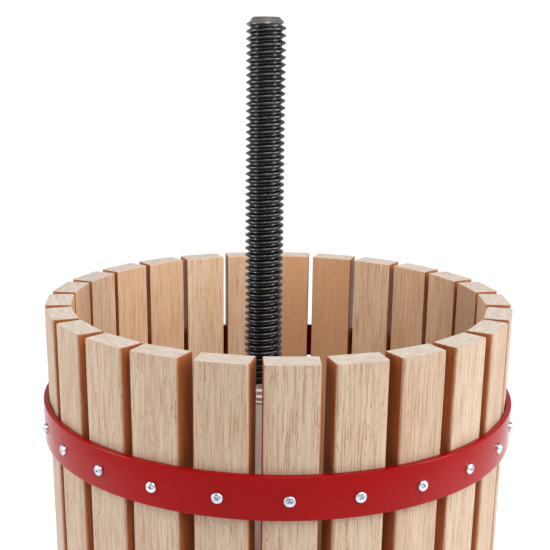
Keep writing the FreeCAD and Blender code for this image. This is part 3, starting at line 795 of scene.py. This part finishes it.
def make_grip(node, sign):
    """Turned wooden grip with a swelling middle and a rounded end."""
    low, high = box_of(node)
    middle = (low + high) / 2
    length = high.x - low.x
    bore = 8.05 * MM
    fat = (high.z - low.z) / 2
    socket = length - 4 * MM
    outside = []
    steps = 28
    for step in range(steps + 1):
        t = step / steps
        swell = fat * (0.80 + 0.20 * math.sin(math.pi * min(1.0, t * 1.1)) ** 0.8)
        round_end = math.sqrt(max(0.0, 1 - max(0.0, (t - 0.9) / 0.1) ** 2))
        neck = math.sqrt(max(0.0, 1 - max(0.0, (0.06 - t) / 0.06) ** 2))
        outside.append((max(0.05 * MM, swell * round_end * (0.72 + 0.28 * neck)), t * length))
    profile = [(bore, 0.0)] + outside + [(0.02 * MM, socket), (bore, socket)]
    verts, faces = lathe(profile, 48)
    grain = [(x / MM + 40, y / MM + 40, z / MM + 400 * sign) for x, y, z in verts]
    outward = Matrix.Rotation(sign * math.pi / 2, 3, "Y")
    start = (low.x if sign > 0 else high.x, middle.y, middle.z)
    mesh = finish_mesh(node + "_turned", laid(verts, outward, start), faces, sharp=60)
    set_grain(mesh, grain, 0.5)
    add_piece(node + "_turned", mesh, NUT, [MATERIALS["grip"]], [node])


# ---------------------------------------------------------------- camera, floor, light

def make_camera():
    """Standing in front of the press, a little above its rim and tilted down at it."""
    distance = 0.800
    above_rim = 0.19485
    yaw = math.radians(-0.20)
    pitch = math.radians(15.66)
    roll = math.radians(0.74)
    ahead = Vector((math.sin(yaw) * math.cos(pitch), math.cos(yaw) * math.cos(pitch), -math.sin(pitch)))
    level = Vector((math.cos(yaw), -math.sin(yaw), 0))
    upward = level.cross(ahead)
    right = level * math.cos(roll) + upward * math.sin(roll)
    top = upward * math.cos(roll) - level * math.sin(roll)
    data = bpy.data.cameras.new("camera")
    data.sensor_width = 36.0
    data.lens = 64.50
    data.shift_y = 0.1
    data.clip_end = 100.0
    camera = bpy.data.objects.new("camera", data)
    turn = Matrix((right, top, -ahead)).transposed()
    spot = BASKET_AXIS + Vector((0, -distance, RIM_Z + above_rim))
    camera.matrix_world = Matrix.Translation(spot) @ turn.to_4x4()
    bpy.context.collection.objects.link(camera)
    bpy.context.scene.camera = camera


def make_floor():
    """Flat round floor whose edge sweeps up into a low wall."""
    flat = 6.0
    sweep = 2.0
    sides = 96
    steps = 12
    rings = [(flat + sweep * math.sin(math.pi / 2 * step / steps),
              sweep * (1 - math.cos(math.pi / 2 * step / steps))) for step in range(steps + 1)]
    points = [(0, 0, 0)]
    for radius, rise in rings:
        for side in range(sides):
            turn = 2 * math.pi * side / sides
            points.append((radius * math.cos(turn), radius * math.sin(turn), rise))
    faces = [(0, 1 + side, 1 + (side + 1) % sides) for side in range(sides)]
    for step in range(steps):
        low = 1 + step * sides
        for side in range(sides):
            after = (side + 1) % sides
            faces.append((low + side, low + sides + side, low + sides + after, low + after))
    mesh = finish_mesh("floor", points, faces)
    floor = bpy.data.objects.new("floor", mesh)
    bpy.context.collection.objects.link(floor)
    mesh.materials.append(studio_floor("studio_floor"))


def soft_light(name, spot, target, width, height, power):
    data = bpy.data.lights.new(name, "AREA")
    data.shape = "RECTANGLE"
    data.size = width
    data.size_y = height
    data.energy = power
    light = bpy.data.objects.new(name, data)
    aim = (Vector(target) - Vector(spot)).to_track_quat("-Z", "Y")
    light.matrix_world = Matrix.Translation(spot) @ aim.to_matrix().to_4x4()
    bpy.context.collection.objects.link(light)


def make_light():
    target = (BASKET_AXIS.x, 0, RIM_Z)
    sun = bpy.data.lights.new("overhead", "SUN")
    sun.energy = 2.25
    sun.angle = math.radians(45)
    overhead = bpy.data.objects.new("overhead", sun)
    overhead.rotation_euler = (math.radians(36), 0, math.radians(24))
    bpy.context.collection.objects.link(overhead)
    soft_light("band_left", (-1.30, -0.32, 1.00), target, 0.40, 1.4, 13)
    soft_light("band_right", (1.35, -0.42, 1.10), target, 0.50, 1.4, 20)
    world = bpy.data.worlds.new("studio")
    bpy.context.scene.world = world
    world.use_nodes = True
    tree = world.node_tree
    background = tree.nodes["Background"]
    background.inputs["Color"].default_value = (1, 1, 1, 1)
    background.inputs["Strength"].default_value = 0.5
    bpy.context.scene.view_settings.view_transform = "Standard"


# ---------------------------------------------------------------- the whole press

make_camera()
for slat_number, slat_node in enumerate(SLATS):
    make_slat(slat_number, slat_node)
for hoop_node in ("hoop_upper", "hoop_lower"):
    make_hoop(hoop_node)
for screw_node in ("upper_screws", "lower_screws"):
    make_hoop_screws(screw_node)
make_spindle()
make_tray()
keep_cad(["spout", "leg_1", "leg_2", "leg_3", "brace_ring"], MATERIALS["paint"])
keep_cad(["spider", "press_nut"], MATERIALS["cast"], 1.0 * MM)
keep_cad(["anchor_nut", "anchor_washer", "thrust_washer", "leg_bolts", "brace_bolts", "brace_nuts"],
         MATERIALS["zinc"], 0.4 * MM)
keep_cad(["nut_arm_left", "nut_arm_right"], MATERIALS["steel"])
make_half_plate("plate_back", 1)
make_half_plate("plate_front", -1)
for batten in ("batten_front", "batten_back"):
    lay_board(batten + "_wood", batten, STACK, "plate", "plate_end", 0)
for block in ("lower_block_left", "lower_block_right"):
    lay_board(block + "_wood", block, STACK, "block", "block_end", 1, 3 * MM)
for block in ("upper_block_front", "upper_block_back"):
    lay_board(block + "_wood", block, STACK, "block", "block_end", 0, 3 * MM)
make_batten_screws()
make_grip("arm_grip_right", 1)
make_grip("arm_grip_left", -1)
make_floor()
make_light()
